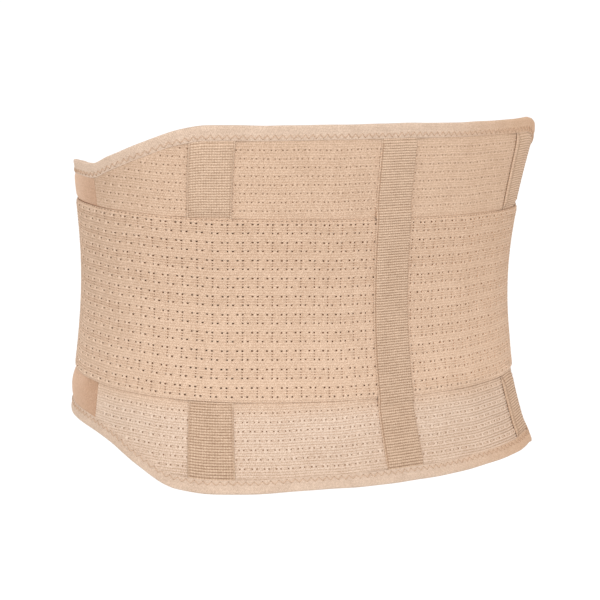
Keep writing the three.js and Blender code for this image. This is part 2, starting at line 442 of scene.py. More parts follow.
def pileFinish():
    look = pileLook
    finish, spot, paintedShade, flat = newCloth("smoothPile", {"Sheen Weight": 0.12})
    patches = speckle(spot, 70, 4.0, 0.2)
    tufts = fuzz(spot, 900)
    # painted light and shade: paler away from the seam and lighter upwards, with the painted shade's dark
    # tone along the free end
    far = axis(flat, 0).math("ABSOLUTE").between(0.216, 0.254)  # paler away from the seam
    share = patches * 0.2 + tufts * 0.3 + far * 0.7 + axis(spot, 2) * 1.4
    colour = (paintedShade * 0.8).blend(share.blend(look["dark"], look["light"]), look["paintedShade"])
    return dress(finish, colour, tufts * 0.15 + 0.8, tufts + patches * 0.6, distance=0.0005)


tapeLook = {
    "light": tone(227, 199, 174),
    "dark": tone(149, 118, 93),
    "paintedShade": tone(104, 68, 44),
    "loop": 0.0016,
    "slant": 0.2,
}


def tapeFinish():
    look = tapeLook
    finish, spot, paintedShade, flat = newCloth("ribbedTape")
    rib, thread = knit(flat, metre, look, 0.0)
    fibre = fuzz(spot, 1150)
    # painted shade in the grooves between the ribs, and painted light: a little paler upwards; the
    # painted shade's dark tone goes into grooves, furrows and edges
    share = rib * 0.38 + thread * 0.2 + fibre * 0.34 + speckle(spot, 80) * 0.08 + axis(spot, 2) * 0.5
    colour = paintedRightShade(spot, share.blend(look["dark"], look["light"]))
    relief = thread * rib * 0.8 + fibre * 0.5
    return dress(finish, paintedShade.blend(colour, look["paintedShade"]), fibre * 0.15 + 0.7, relief)


bindingLook = {
    "light": tone(237, 213, 192),
    "dark": tone(182, 155, 134),
    "low": tone(150, 125, 104),
    "paintedShade": tone(120, 88, 66),
    "loop": 0.0011,
    "slant": 0.8,
}


def bindingFinish():
    look = bindingLook
    finish, spot, paintedShade, flat = newCloth("edgeBinding")
    rib, loop = knit(flat, look["loop"], look, 0.5)
    fibre = fuzz(spot, 1050)
    share = rib * loop * 0.35 + fibre * 0.35 + speckle(spot, 90) * 0.15 + 0.1
    colour = paintedRightShade(spot, share.blend(look["dark"], look["light"]), 0.5)
    # painted shade: the bottom binding a little darker, towards the low tone
    colour = (axis(spot, 2).between(-0.06, -0.1) * 0.08).blend(colour, look["low"])
    relief = rib * loop * 0.8 + fibre * 0.6
    return dress(finish, paintedShade.blend(colour, look["paintedShade"]), fibre * 0.15 + 0.68, relief)


threadLook = {"light": tone(214, 184, 158), "dark": tone(178, 145, 119), "paintedShade": tone(112, 75, 50)}


def threadFinish():
    look = threadLook
    finish, spot, paintedShade = newCloth("sewingThread")[:3]
    fibre = fuzz(spot, 2600)
    # painted shade at the needle points, where the thread sinks into the cloth
    colour = paintedShade.blend(fibre.blend(look["dark"], look["light"]), look["paintedShade"])
    return dress(finish, colour, fibre * 0.2 + 0.55, fibre, 0.4, 0.0001)


netElastic = netFinish()
smoothPile = pileFinish()
ribbedTape = tapeFinish()
edgeBinding = bindingFinish()
sewingThread = threadFinish()
print("finishes ready")


def addObject(name, data):
    made = bpy.data.objects.new(name, data)
    bpy.context.scene.collection.objects.link(made)
    return made


def addMesh(name, points, faceGroups, paintedShades, finish, flat=None):
    # points in mm, of which those that no face uses are dropped; faceGroups are index arrays of one face
    # size each, and the painted shade of their corners comes in arrays of the same shape
    used = np.unique(np.concatenate([group.ravel() for group in faceGroups]))
    newAt = np.zeros(len(points), int)
    newAt[used] = np.arange(len(used))
    faces = [face for group in faceGroups for face in newAt[group].tolist()]
    mesh = bpy.data.meshes.new(name)
    mesh.from_pydata((points[used] * metre).tolist(), [], faces)
    mesh.polygons.foreach_set("use_smooth", np.ones(len(faces), bool))
    if flat is not None:
        corner = np.zeros(len(mesh.loops), int)
        mesh.loops.foreach_get("vertex_index", corner)
        layer = mesh.uv_layers.new(name="cloth")
        layer.data.foreach_set("uv", (flat[used] * metre)[corner].ravel())
    shade = mesh.attributes.new("paintedShade", "FLOAT", "CORNER")
    shadeAmount = np.concatenate([group.ravel() for group in paintedShades])
    shade.data.foreach_set("value", shadeAmount.astype(np.float32))
    mesh.materials.append(finish)
    mesh.update()
    print(name, sum(len(face) - 2 for face in faces), "triangles")
    return addObject(name, mesh)


def cellCorners(at, i, j):
    return np.stack([at[i, j], at[i, j + 1], at[i + 1, j + 1], at[i + 1, j]], 1)


def flatOf(u, course):
    # cloth coordinates: mm along the loop, and courses or mm up
    u, course = np.broadcast_arrays(u, course)
    return np.stack([u * loopLength, course], axis=-1)


# painted shade: a little on the inner side and on the border walls, and a share of a wall's painted shade
# along its rim
wallSize = {"innerShade": 0.1, "borderShade": 0.05, "rimShare": 0.25, "pitDepth": 0.85}


def clothWall(name, finish, outer, inner, innerRows, course, paintedShade, keep=None, sunk=None,
              paintedHoleShade=0.3, paintedDentShade=0.3):
    # Closed wall between an outer and an inner grid, each given as u, z and out. Rows go up and columns
    # along u. The inner side has only the rows listed in innerRows, and keep says which of its cells are
    # cloth, or all are. A cell that isn't kept is a hole, and walls close each hole and border. A sunk
    # cell of the outer side is a blind hole. The given shade is painted on the outer points, and the hole
    # and dent amounts are painted as shade in the depths.
    deep = place(outer[0], outer[1], outer[2] - wallSize["pitDepth"])
    flat = flatOf(outer[0], course)
    outer = place(*outer)
    inner = place(*inner)[innerRows]
    rows, columns = outer.shape[:2]
    outerAt = np.arange(rows * columns).reshape(rows, columns)
    innerAt = rows * columns + np.arange(len(innerRows) * columns).reshape(-1, columns)
    last = len(innerRows) - 1
    if keep is None:
        keep = np.ones((last, columns - 1), bool)
    cells = keep[np.searchsorted(innerRows, np.arange(rows - 1), side="right") - 1]
    blind = np.zeros_like(cells) if sunk is None else cells & sunk

    def paintedWallShade(inHole, rimPoints):
        # along the rim a share of what it is at the two inner corners
        dark = np.where(inHole, paintedHoleShade, wallSize["borderShade"])[:, None]
        return dark * np.array([wallSize["rimShare"]] * rimPoints + [1, 1])

    groups = [cellCorners(outerAt, *np.nonzero(cells & ~blind))]
    groups.append(cellCorners(innerAt, *np.nonzero(keep))[:, [0, 3, 2, 1]])
    paintedShades = [paintedShade.ravel()[groups[0]], np.full(groups[1].shape, wallSize["innerShade"])]
    padded = np.pad(keep, 1)
    lower = padded[1:, 1:-1] & ~padded[:-1, 1:-1]
    upper = padded[:-1, 1:-1] & ~padded[1:, 1:-1]
    for border, first in ((lower, 1), (upper, 0)):
        i, j = np.nonzero(border)
        ends = np.stack([j + first, j + 1 - first], 1)
        rim = outerAt[innerRows[i][:, None], ends]
        groups.append(np.concatenate([rim, innerAt[i[:, None], ends[:, ::-1]]], 1))
        paintedShades.append(paintedWallShade((i > 0) & (i < last), 2))
    starts = padded[1:-1, 1:] & ~padded[1:-1, :-1]
    stops = padded[1:-1, :-1] & ~padded[1:-1, 1:]
    for block, (low, high) in enumerate(zip(innerRows[:-1], innerRows[1:])):
        for line, flip in ((starts, 1), (stops, -1)):
            j = np.nonzero(line[block])[0]
            feet = [innerAt[block + 1, j][:, None], innerAt[block, j][:, None]][::flip]
            groups.append(np.concatenate([outerAt[low:high + 1, j].T[:, ::flip], *feet], 1))
            paintedShades.append(paintedWallShade((j > 0) & (j < columns - 1), high - low + 1))
    points = [outer.reshape(-1, 3), inner.reshape(-1, 3)]
    flats = [flat.reshape(-1, 2), flat[innerRows].reshape(-1, 2)]
    if blind.any():
        rim = cellCorners(outerAt, *np.nonzero(blind))
        floor = outerAt.size + innerAt.size + np.arange(rim.size).reshape(-1, 4)
        bottom = deep.reshape(-1, 3)[rim]
        bottom = bottom * 0.8 + bottom.mean(axis=1, keepdims=True) * 0.2
        points.append(bottom.reshape(-1, 3))
        flats.append(flat.reshape(-1, 2)[rim].reshape(-1, 2))
        around = np.stack([rim, np.roll(rim, -1, 1), np.roll(floor, -1, 1), floor], -1).reshape(-1, 4)
        groups += [around, floor]
        sides = np.array([wallSize["rimShare"], wallSize["rimShare"], 1, 1])
        paintedShades += [paintedDentShade * sides + 0.0 * around, paintedDentShade + 0.0 * floor]
    return addMesh(name, np.concatenate(points), groups, paintedShades, finish, np.concatenate(flats))


def finishPiece(piece, node):
    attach(piece, "root")
    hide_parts(node)


# Rows of a net, from the bottom up: lines at each hole row, ribs between them, and a thinner selvedge.
netRows = {
    "crest": 0.3,
    "groove": -0.35,
    "dent": -0.2,
    "dentHalf": 0.28,
    "topHole": -0.06,
    "bottomHole": -0.12,
    "fullGap": 4.6,  # the gap between hole rows that has all its ribs
    "plainGap": 20.0,  # a wider gap has none
    "plainRelief": -0.1,
    "plainStep": 12,
    "plainRib": 1.5,
    # lines of the selvedge: distance from the end, relief, kind, own and course
    "selvedge": [(0.0, -0.55, 0, 1, 0.0), (0.3, -0.32, 0, 0, 0.3), (0.65, -0.22, 6, 0, 0.6),
                 (1.1, -0.2, 6, 0, 1.0)],
}


def netLines(holeRows, hole, ribs, ends, dents=0, three=False):
    # height, relief, kind, own and course of each line. Kinds: 0 cloth, 1 and 2 a top pair's edge and
    # middle line, 3 and 4 a bottom pair's, 5 a row of dents, 6 the selvedge's dots. own marks the lines
    # of the inner side, and course counts the ribs.
    size = netRows
    made = [(ends[0] + inset, *rest) for inset, *rest in size["selvedge"]]
    margin = size["selvedge"][-1][0]
    below = ends[0] + margin
    belowTop = True
    course = 1.0
    for centre, isTop in [*holeRows, (ends[1], None)]:
        closing = isTop is None
        gap = (ends[1] - margin if closing else centre - hole) - below
        if gap > size["plainGap"]:
            count = max(int(gap / size["plainStep"]), 2)
            for rise in np.arange(1, count) / count * gap:
                made.append((below + rise, size["plainRelief"], 0, 1, course + rise / size["plainRib"]))
            course += round(gap / size["plainRib"])
        else:
            tight = dents and isTop and not belowTop
            full = min(gap / size["fullGap"], 1)
            crests = dents + 1 if tight else max(int(round(ribs * full)), 1)
            for k in range(1, 2 * crests):
                z = below + gap * k / (2 * crests)
                at = course + k / 2
                if k % 2:
                    made.append((z, size["crest"], 0, 0, at))
                elif tight:
                    for way in (-1, 1):
                        made.append((z + way * size["dentHalf"], size["dent"], 5, 0, at + way * 0.06))
                else:
                    made.append((z, size["groove"], 0, 0, at))
            course += crests
        if closing:
            for inset, relief, kind, own, up in size["selvedge"][::-1]:
                made.append((ends[1] - inset, relief, kind, own, course + 1 - up))
        else:
            edge = 1 if isTop else 3
            sunkBy = size["topHole"] if isTop else size["bottomHole"]
            made.append((centre - hole, sunkBy, edge, 1, course))
            if three:
                made.append((centre, sunkBy, edge + 1, 1, course + 0.5))
            made.append((centre + hole, sunkBy, edge, int(three), course + 1))
            course += 1
            below = centre + hole
            belowTop = isTop
    return [np.array(column) for column in zip(*made)]


def pairRows(size, numbers):
    # hole rows in pairs of a top and a bottom one, from the bottom up
    tops = size["rowTop"] - size["rowPeriod"] * numbers
    return sorted([(z, True) for z in tops] + [(z - size["pairDrop"], False) for z in tops])


def netColumns(first, size, halfHole, count, ends):
    # each motif has three hole columns, spread apart round its own place, and two lines on each
    centres = first + size["columnPeriod"] * np.arange(count)
    spread = size["pairShare"] * size["columnPeriod"]
    places = centres[:, None] + np.array([-spread, 0.0, spread])
    u = (places[:, :, None] + np.array([-halfHole, halfHole])).ravel()
    steps = size["margin"] * np.array([0, 0.12, 0.35, 1])
    low = (ends[0] + steps)[ends[0] + steps < u[0]]
    high = (ends[1] - steps[::-1])[ends[1] - steps[::-1] > u[-1]]
    holeOf = np.pad(np.tile([0, 0, 1, 1, 2, 2], count), (len(low), len(high)), constant_values=-1)
    return np.concatenate([low, u, high]), holeOf, np.concatenate([low, places.repeat(2), high])


def drawnIn(distance):
    # under 4 mm: 4 mm times the exponential of the distance beyond 4 mm, over 4 mm
    return np.where(distance < 4, 4 * np.exp(np.minimum((distance - 4) / 4, 0)), distance)


def netPiece(name, columns, lines, base, size, ribAt, shiftAt, pierced):
    # The outer side follows base plus wall plus each line's relief. At the free edges the net settles
    # and gets thinner. The hole lines bend towards or away from their column's middle, so that a hole is
    # narrow at its ends, and the whole net is a little uneven. ribAt gives the ribs' strength and shiftAt
    # how far the rows are moved up. A raised bar of yarn parts the two holes of a pair. The columns lean
    # with height. A net that isn't pierced has blind holes, none in its covered part. Under the bindings
    # it is pressed flat, and its rows are drawn together towards the cut edge.
    uLine, holeOf, middle = columns
    zLine, relief, kind, own, course = lines
    topLine = np.isin(kind, [1, 2])
    lowLine = np.isin(kind, [3, 4])
    width = np.ones((len(zLine), len(uLine)))
    width[np.isin(kind, [1, 3])] = 0.75 if 2 in kind else 1.0
    width[np.isin(kind, [2, 4])] = 1.25
    width[np.ix_(lowLine, holeOf == 1)] *= 0.66
    width[np.ix_(kind == 5, holeOf == 1)] = 0.65
    wander = chance.normal(0, 0.05, (len(zLine), len(uLine) // 2 + 1)).repeat(2, axis=1)[:, :len(uLine)]
    moved = wander / loopLength + size["lean"] * zLine[:, None]
    u = middle + (uLine - middle) * width + moved * (holeOf >= 0)
    sway = 0.25 * np.sin(turn * 9 * uLine + 0.6) + 0.15 * np.sin(turn * 23 * uLine)
    fromEnd = np.minimum(zLine - zLine[0], zLine[-1] - zLine)[:, None]
    edge = 1 - ease(fromEnd, 0, 4)
    inside = fromEnd > 2
    z = zLine[:, None] + sway * inside
    z = z + shiftAt(u, z)
    high = relief[:, None] * (1 + chance.normal(0, 0.15, z.shape))
    high = np.where(np.isin(kind, [0, 5])[:, None] & inside, high * ribAt(u, z), high)
    fromSide = np.minimum(uLine - uLine[0], uLine[-1] - uLine) * loopLength
    high = high * (0.25 + 0.75 * ease(fromSide, 3.0, 4.5))
    high = high - size["endRound"] * (1 - np.clip(fromSide, 0, 1)) ** 2
    inHole = holeOf[:-1] == holeOf[1:]
    holes = np.zeros((len(zLine) - 1, len(uLine) - 1), bool)
    bars = np.zeros(z.shape)
    for line, first in ((topLine, 0), (lowLine, 1)):
        pair = np.isin(holeOf[:-1], [first, first + 1])
        holes[np.ix_(line[:-1] & line[1:], inHole & pair)] = True
        between = (holeOf == first) & (uLine > middle) | (holeOf == first + 1) & (uLine < middle)
        bars[np.ix_(line, between)] = 1
    shade = np.zeros(z.shape)
    innerRows = np.nonzero(own)[0]
    keep = np.ones((len(innerRows) - 1, len(uLine) - 1), bool)
    if pierced:
        keep &= ~holes[innerRows[:-1]]
        dents = (kind[:-1] == 5) & (kind[1:] == 5)
        dots = (kind[:-1] == 6) & (kind[1:] == 6) & (zLine[1:] > 0)  # at the top only
        sunk = np.zeros_like(holes)
        sunk[np.ix_(dents, inHole & (holeOf[:-1] == 1))] = True
        sunk[np.ix_(dots, inHole)] = True
        # painted shadow: a dark line along the band's top edge, towards the sides
        aside = np.maximum(ease(u[-1], 0.06, 0.15), ease(-u[-1], 0.19, 0.29))
        shade[-2:] = np.outer([0.5, 0.9], aside)  # the top edge is darker towards the sides
    else:
        clear = clearOf(u, z)
        high = high * ease(clear, -0.3, 1.2) - 0.35 * (1 - ease(clear, -2.4, -0.6))
        shown = (clear > 1.8) & (np.abs(z) > size["bare"])
        bars = bars * shown
        sunk = holes & shown[:-1, :-1] & shown[1:, 1:]
        # painted shade on the covered part, so that a band's holes show shaded cloth
        shade[np.abs(zLine) < size["covered"]] = size["coveredShade"]
        top = edgeHeight("top", u) - 1.5
        bottom = edgeHeight("bottom", u) + 1.5
        whole = (np.minimum(top - z, z - bottom) > -8)[innerRows]
        keep &= whole[:-1, :-1] & whole[1:, :-1] & whole[:-1, 1:] & whole[1:, 1:]
        z = bottom + drawnIn(z - bottom)
        z = top - drawnIn(top - z)
    foot = base(u, z) - size["settle"] * edge
    out = foot + size["wall"] + high + size["barHeight"] * bars - size["taper"] * edge
    # painted highlight on the bars, as a shade below zero
    shade = shade - size["barShade"] * bars
    selvedge = (fromSide < 3.3) & ~(topLine | lowLine)[:, None]
    course = np.where(selvedge, np.floor(course)[:, None] + 0.5, course[:, None])
    return clothWall(name, netElastic, (u, z, out), (u, z, foot), innerRows, course, shade, keep, sunk,
                     size["holeShade"], size["dentShade"])


# Back panel: net in half of the loop, with its holes where the bands don't cover it.
backPanel = {
    "ends": (-118.5, 124.0),
    "rowEnds": (-116, 119),
    "rowTop": 105.5,
    "rowPeriod": 11.48,
    "pairDrop": 5.74,
    "columnPeriod": 0.0085,
    "phase": -0.00155,
    "lean": -0.0000182,
    "margin": 0.0035,
    "pairShare": 0.37,
    "holeHalfWidth": 0.52,
    "holeHalfHeight": 0.42,
    "holeShade": 0.4,
    "dentShade": 0.4,
    "coveredShade": 0.4,
    "ribs": 3,
    "covered": 58.5,
    "bare": 62.0,
    "wall": layers["panelWall"],
    "barHeight": 0.25,
    "barShade": 0.2,
    "settle": 0.0,
    "taper": 0.0,
    "endRound": 0.05,
    "flat": (0.436, 0.238),
    "area": 0.0948,
}


def makeBackPanel():
    size = backPanel
    lowest, highest = size["rowEnds"]
    rows = pairRows(size, np.arange(-1, 20))
    rows = [row for row in rows if size["covered"] < abs(row[0]) and lowest < row[0] < highest]
    lines = netLines(rows, size["holeHalfHeight"], size["ribs"], size["ends"])
    end = layers["seamU"] - layers["seamGap"]
    count = int((2 * end - 0.012) / size["columnPeriod"])
    first = size["phase"] - (count - 1) / 2 * size["columnPeriod"]
    columns = netColumns(first, size, size["holeHalfWidth"] / 900, count, (-end, end))

    def ribAt(u, z):
        # deep below the bands, most of all at the right, soft above them, and none under them
        below = 0.65 + 0.65 * ease(u, 0.02, 0.12)
        return np.where(z < 0, below, 0.4) * ease(besideBand(u, z), -0.5, 0.5)

    return netPiece("backPanelNet", columns, lines, lambda u, z: 0 * u, size, ribAt,
                    lambda u, z: 1.2 * ease(u, -0.13, 0.0), False)


backNet = makeBackPanel()
finishPiece(backNet, "back_panel")


# Outer bands: net elastic from the centre back to the front, over the side tapes.
outerBand = {
    "rowTop": 56.8,
    "rowPeriod": 11.95,
    "rowCount": 10,
    "pairDrop": 5.75,
    "columnPeriod": 0.01118,
    "phase": -0.0013,
    "margin": 0.004,
    "pairShare": 0.35,
    "holeHalfWidth": 0.6,
    "holeHalfHeight": 0.5,
    "holeShade": 0.5,
    "dentShade": 0.78,
    "ribs": 3,
    "dents": 2,
    "wall": layers["bandWall"],
    "barHeight": 0.28,
    "barShade": 0.25,
    "lean": 0.0,
    "settle": 0.35,
    "taper": 0.5,
    "endRound": 0.5,
    "flat": (0.435, 0.12),
}


def makeOuterBand(side, name):
    size = outerBand
    rows = pairRows(size, np.arange(size["rowCount"]))
    half = layers["bandHalf"]
    lines = netLines(rows, size["holeHalfHeight"], size["ribs"], (-half, half), size["dents"], True)
    period = size["columnPeriod"]
    count = int((layers["bandEnd"] - 0.01) / period)
    ends = sorted([side * layers["bandStart"], side * layers["bandEnd"]])
    first = period * 0.75 if side > 0 else size["phase"] - period * count
    columns = netColumns(first, size, size["holeHalfWidth"] / loopLength, count, ends)

    def ribAt(u, z):
        # deeper towards the wearer's sides
        return 0.3 + 0.6 * np.where(u < 0, ease(-u, 0.17, 0.27), ease(u, 0.1, 0.16))

    return netPiece(name, columns, lines, lambda u, z: bandBase(u), size, ribAt, bandSag, True)


for side, name in ((-1, "left"), (1, "right")):
    band = makeOuterBand(side, "outerBand" + name.title() + "Net")
    finishPiece(band, "outer_band_" + name)
print("net pieces ready")


# Stay tapes: ribbed tape with a plain selvedge on both sides and a stitch furrow inside it.
stayTape = {
    "rib": 1.8,
    "ribHeight": 0.45,
    "ribWave": [-0.75, 0.0, 0.3, 0.0],
    "lengthShare": 1.046,  # the loop is longer above and below the waist
    "selvedge": {"left": 1.3, "right": 2.8, "centre": 0.7},
    "press": {"left": 0.1, "right": 0.0, "centre": 0.3},
    # furrow and rim are amounts of painted shade: in the stitch furrow, and a painted shadow along the
    # tape's edges
    "furrow": {"left": 0.3, "right": 0.65, "centre": 0.3},
    "rim": {"left": 0.35, "right": 0.35, "centre": 0.15},
    "crown": 0.3,
    "shoulder": 0.55,
    "calm": {"left": 0.3, "right": 0.3, "centre": 0.0},  # share of the ribs lost towards the top
    "tuck": 1.0,
    "flat": (0.029, 0.236),
    # the middle of each tape at four heights, as a share of the loop
    "lineZ": [-104, -62, 62, 112],
    "left": [-0.1457, -0.1462, -0.1485, -0.147],
    "right": [0.1475, 0.1458, 0.1495, 0.1495],
    "centre": [0.0, 0.0, 0.0, 0.0],
}


def tapeLine(word, z):
    return np.interp(z, stayTape["lineZ"], stayTape[word])


def tapeTop(fromRim, half, selvedge):
    # height over the tape's wall: rounded at the edges, raised and crowned over the stay, with a furrow
    edge = -0.7 * (1 - np.clip(fromRim / 0.8, 0, 1)) ** 2
    furrow = -0.15 * np.exp(-((fromRim - selvedge) / 0.35) ** 2)
    raised = stayTape["shoulder"] * ease(fromRim, 0.0, 1.8)
    return edge + furrow + raised + stayTape["crown"] * (1 - (1 - fromRim / half) ** 2)


def makeStayTape(word, name, base):
    # across the tape by u, and up it in ribs: each rib is a groove, a flank, a crest and a flank
    size = stayTape
    length = loopLength * size["lengthShare"]
    half = layers["tapeShare"] / 2 * length
    selvedge = size["selvedge"][word]
    inset = np.append([0, 0.2, 0.45], selvedge + np.array([-0.2, 0.0, 0.35, 0.8, 1.7]))
    inside = np.linspace(5.2 - half, half - 5.2, 8)
    across = np.concatenate([inset - half, inside, (half - inset)[::-1]])
    fromRim = half - np.abs(across)
    u = tapeLine(word, 0) + across / length
    count = int(240 / size["rib"])
    step = np.arange(count * 4 + 1)
    z = betweenEdges(u, size["tuck"], (step / (count * 4))[:, None])
    u = tapeLine(word, z) + across / length
    wave = np.array(size["ribWave"])[step % 4][:, None]
    middle = ease(fromRim, selvedge - 0.3, selvedge + 0.4)
    uneven = 1 + chance.normal(0, 0.2, z.shape)
    strong = (0.3 + 0.7 * middle) * (1 - size["calm"][word] * ease(z, 0, 80))
    ribs = wave * size["ribHeight"] * strong * uneven
    clear = clearOf(u, z)
    beside = besideBand(u, z)
    free = ease(clear, -0.4, 4.0)
    seen = ease(clear, -0.5, 0.3)
    if word != "centre":
        free = free * ease(beside, 0.3, 7.0)
        seen = seen * ease(beside, -0.6, 0.3)
    relief = ribs * seen + tapeTop(fromRim, half, selvedge) * free
    relief = relief - (layers["pressed"] + 0.05) * (1 - free)
    # painted shade in each rib's groove and in the stitch furrows, and a painted shadow along the edges
    paintedShade = np.where(step % 4 == 0, 0.3, 0.0)[:, None] * strong * (1 + chance.normal(0, 0.3, z.shape))
    paintedShade = np.maximum(paintedShade, size["furrow"][word] * np.exp(-((fromRim - selvedge) / 0.3) ** 2))
    paintedShade = np.maximum(paintedShade, np.where(fromRim < 0.1, size["rim"][word], 0.0))
    innerRows = np.append(step[:-1:4], step[-1])
    press = size["press"][word] * (1 - ease(fromRim, 0, 1.5))
    out = base(z) + layers["tapeWall"] + relief - press * (1 + 0.5 * free)
    fill = (base(z) - onePanel) * ease(beside, 0.0, 0.6)  # no gap where the tape climbs
    foot = base(z) - press - fill
    course = (step / 4)[:, None]
    course = np.where(fromRim < selvedge - 0.1, np.floor(course) + 0.5, course)
    return clothWall(name, ribbedTape, (u, z, out), (u, z, foot), innerRows, course, paintedShade)


tapePlaces = (
    ("left", "stayTapeLeft", lambda z: onePanel + 0 * z),
    ("right", "stayTapeRight", lambda z: onePanel + 0 * z),
    ("centre", "stayTapeCentre", centreBase),
)
for word, name, base in tapePlaces:
    tape = makeStayTape(word, name, base)
    finishPiece(tape, "stay_tape_" + word)
print("tapes ready")


# Front panels: smooth cloth with a short pile, the left one over the right one at the front.
frontPanel = {
    "columns": 90,
    "rows": 56,
    "pile": 0.9,
    "tuck": 1.0,
    "hem": 8,
    "swellTop": 0.02,
    "swellBottom": 0.08,
    "flat": (0.25, 0.18),
    "area": 0.0435,
}


def makeFrontPanel(side, name):
    # a plain wall, denser at its borders, with a soft rounding at the free end; between the band and the
    # bindings the pile stands up and the cloth swells as a half sine
    size = frontPanel
    start = layers["seamU"] + layers["seamGap"]
    even = (1 - np.cos(np.pi * np.linspace(0, 1, size["columns"]))) / 2
    even = even * 0.35 + np.linspace(0, 1, size["columns"]) * 0.65
    u = start + (layers["panelEnd"] - start) * even
    u = u if side > 0 else -u[::-1]
    z = betweenEdges(u, size["tuck"], np.linspace(0, 1, size["rows"])[:, None])
    u = u + 0 * z
    fromEnd = (layers["panelEnd"] - np.abs(u)) * loopLength
    rounded = -0.5 * (1 - np.clip(fromEnd / 1.2, 0, 1)) ** 2
    limit = np.where(z > 0, z[-1], -z[0]) - size["hem"]
    midway = np.clip((np.abs(z) - layers["bandHalf"]) / (limit - layers["bandHalf"]), 0, 1)
    swell = np.where(z > 0, size["swellTop"], size["swellBottom"]) * (limit - layers["bandHalf"])
    standing = size["pile"] * ease(midway, 0, 0.1) * (1 - ease(midway, 0.93, 1))
    swell = (swell * np.sin(np.pi * midway) + standing) * ease(np.abs(u), 0.25, 0.275)
    # painted shade along the free end
    paintedShade = 0.15 * np.exp(-(fromEnd / 0.8) ** 2)
    innerRows = np.unique(np.append(np.arange(0, size["rows"], 5), size["rows"] - 1))
    foot = panelBase(u, z) + swell
    out = foot + layers["panelWall"] + rounded
    return clothWall(name, smoothPile, (u, z, out), (u, z, foot), innerRows, z, paintedShade)


for side, name in ((-1, "left"), (1, "right")):
    panel = makeFrontPanel(side, "frontPanel" + name.title() + "Cloth")
    finishPiece(panel, "front_panel_" + name)
print("front panels ready")


# Edge bindings: a strip folded over the free edge. The fold's own line goes up one leg, round and down.
edgeFold = {
    "lengthShare": 1.05,  # the loop is longer along the edges than round the waist
    "stations": 620,
    "pucker": 0.1,
    "stitchPitch": 5.2,
    "stitchZone": (4.4, 7.4),
    "flat": (0.023, 0.96),
    # rise against the edge, in mm, and how far the fold's outer face and its cavity stand off the cloth
    "rise": [-8.5, -8.3, -7.8, -7.0, -6.2, -5.4, -4.6, -3.8,
             -3.2, -2.7, -2.1, -1.3, -0.4, 0.4, 1.0, 1.3],
    "stand": [0.12, 0.26, 0.4, 0.47, 0.5, 0.5, 0.5, 0.5,
              0.5, 0.54, 0.64, 0.74, 0.78, 0.7, 0.45, 0.15],
    "cavity": [0.0, 0.01, 0.03, 0.05, 0.06, 0.06, 0.06, 0.06,
               0.06, 0.07, 0.1, 0.14, 0.16, 0.16, 0.12, 0.06],
}


def bindingRise(u):
    return (oneTape - layers["pressed"]) * np.maximum(sideTapes(u), overTape(u, 0.0))


def foldReach(column):
    # a binding's height against the fold's table
    return layers["binding" + column.title()] / -edgeFold["rise"][0]


def makeBinding(column, up, name):
    # outer face and cavity by the fold's table on both legs, joined over the edge
    size = edgeFold
    u = np.linspace(-layers["panelEnd"], layers["panelEnd"], size["stations"])
    legs = [np.array(size[key] + size[key][::-1])[:, None] for key in ("rise", "stand", "cavity")]
    rise, stand, cavity = legs
    outside = np.repeat([up, -up], len(size["rise"]))[:, None] > 0
    reach = foldReach(column)
    edge = edgeHeight(column, u)
    thick = layers["panelWall"] + bindingRise(u)

    def face(rise, stand):
        z = edge + up * np.where(rise < 0, rise * reach, rise)
        cloth = panelBase(u, z)
        return u + 0 * z, z, np.where(outside, cloth + thick + stand, cloth - stand)

    sewn = np.exp(-((rise + 5.9) / 2) ** 2)
    wave = size["pucker"] * np.sin(turn * u * loopLength / size["stitchPitch"]) * sewn
    uneven = 0.06 * np.sin(turn * 41 * u + 0.9 * rise) * (rise > -4)
    outer = face(rise, stand + wave + uneven)
    inner = face(np.minimum(rise, layers["gap"]), cavity)
    # painted shadow along the fold's rims, where they meet the cloth
    paintedShade = 0.1 * np.exp(-((rise - rise[0]) / 0.25) ** 2) + 0 * u
    along = np.concatenate([[0], np.cumsum(np.abs(np.diff(rise[:, 0])))])[:, None]
    return clothWall(name, edgeBinding, outer, inner, np.arange(len(rise)), along, paintedShade)


for column, up, name in (("top", 1, "topBindingFold"), ("bottom", -1, "bottomBindingFold")):
    strip = makeBinding(column, up, name)
    finishPiece(strip, column + "_binding")
print("bindings ready")


# Front closure: one plain patch with rounded corners over the ends of both bands.
closurePatch = {
    "share": 0.08,
    "half": 52.0,
    "corner": 9.0,
    "sewnAt": 3.5,
    "columns": 60,
    "rows": 70,
    "flat": (0.07, 0.104),
}
closureBase = float(bandBase(np.array(layers["bandEnd"]))) + oneBand


def makeClosure():
    # height by u: full in the middle, and a quarter circle less at each corner
    size = closurePatch
    halfWidth = size["share"] / 2 * loopLength
    across = np.sin(np.linspace(-np.pi / 2, np.pi / 2, size["columns"])) * halfWidth
    into = np.clip(np.abs(across) - (halfWidth - size["corner"]), 0, size["corner"])
    half = size["half"] - size["corner"] + np.sqrt(size["corner"] ** 2 - into ** 2)
    even = np.linspace(-1, 1, size["rows"])[:, None]
    z = half * (np.sin(np.pi / 2 * even) * 0.4 + even * 0.6)
    u = 0.5 + across / loopLength + 0 * z
    inset = np.minimum(halfWidth - np.abs(across) + 0 * z, half - np.abs(z))
    rounded = -0.6 * (1 - np.clip(inset, 0, 1)) ** 2
    sewn = -0.25 * np.exp(-((inset - size["sewnAt"]) / 0.8) ** 2)
    foot = closureBase + 0 * z
    out = foot + layers["closureWall"] + rounded + sewn
    innerRows = np.arange(size["rows"])
    return clothWall("frontClosurePatch", smoothPile, (u, z, out), (u, z, foot), innerRows, z, 0 * z)


closure = makeClosure()
finishPiece(closure, "front_closure")
print("closure ready")


